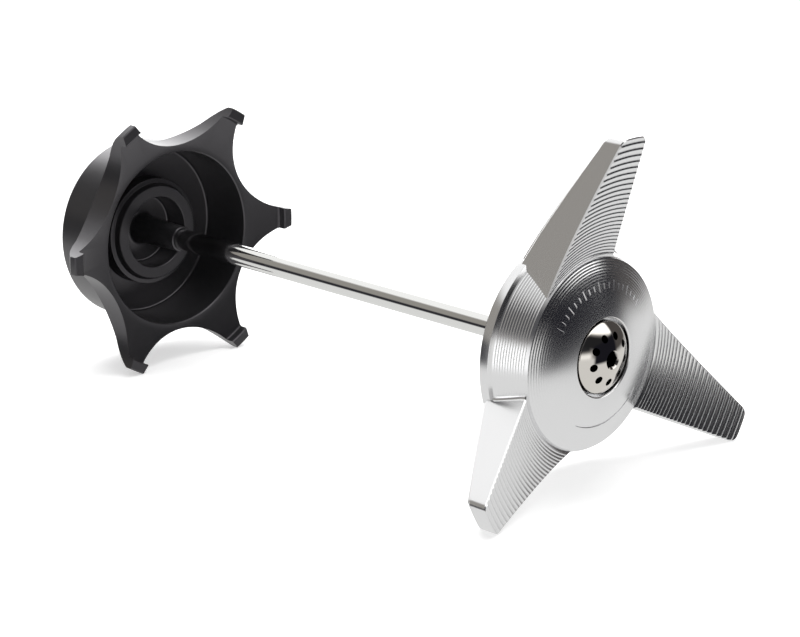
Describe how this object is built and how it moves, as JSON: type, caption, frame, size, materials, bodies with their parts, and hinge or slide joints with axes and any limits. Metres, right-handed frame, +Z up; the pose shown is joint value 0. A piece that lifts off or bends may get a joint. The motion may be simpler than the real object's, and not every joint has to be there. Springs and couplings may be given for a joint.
{
  "type": "rear axle slider",
  "caption": "Motorbike rear axle slider: winged spinner and lobed cup at the two ends of a long bolt that draws them together through a hollow axle.",
  "frame": {"origin": "on the floor under the middle of the bounding box", "axes": "+X along the axle from the cup to the spinner, +Z up, the axle line sloping down by about two degrees towards the spinner"},
  "size_m": [0.315, 0.1628, 0.1423],
  "materials": {
    "machined_aluminium": "bright turned and milled aluminium with fine concentric lines",
    "polished_head": "mirror polished",
    "polished_rod": "polished steel",
    "black_anodised": "satin black anodised"
  },
  "bodies": {
    "spinner": {"spinner": "machined_aluminium"},
    "bolt": {"head_screw": "polished_head", "rod": "polished_rod"},
    "cap": {"cap": "black_anodised"}
  },
  "joints": [
    {"name": "bolt_turn", "type": "hinge", "parent": "spinner", "child": "bolt", "pos_m": [-0.13915, 0.00003, 0.06082], "axis": [0.9995, 0, -0.0331], "range_deg": [0, 4320]},
    {"name": "cap_travel", "type": "slide", "parent": "spinner", "child": "cap", "axis": [0.9995, 0, -0.0331], "range_m": [-0.015, 0]}
  ],
  "couplings": [
    {"joint": "bolt_turn", "follows": "cap_travel", "rad_per_m": -5026.5}
  ]
}
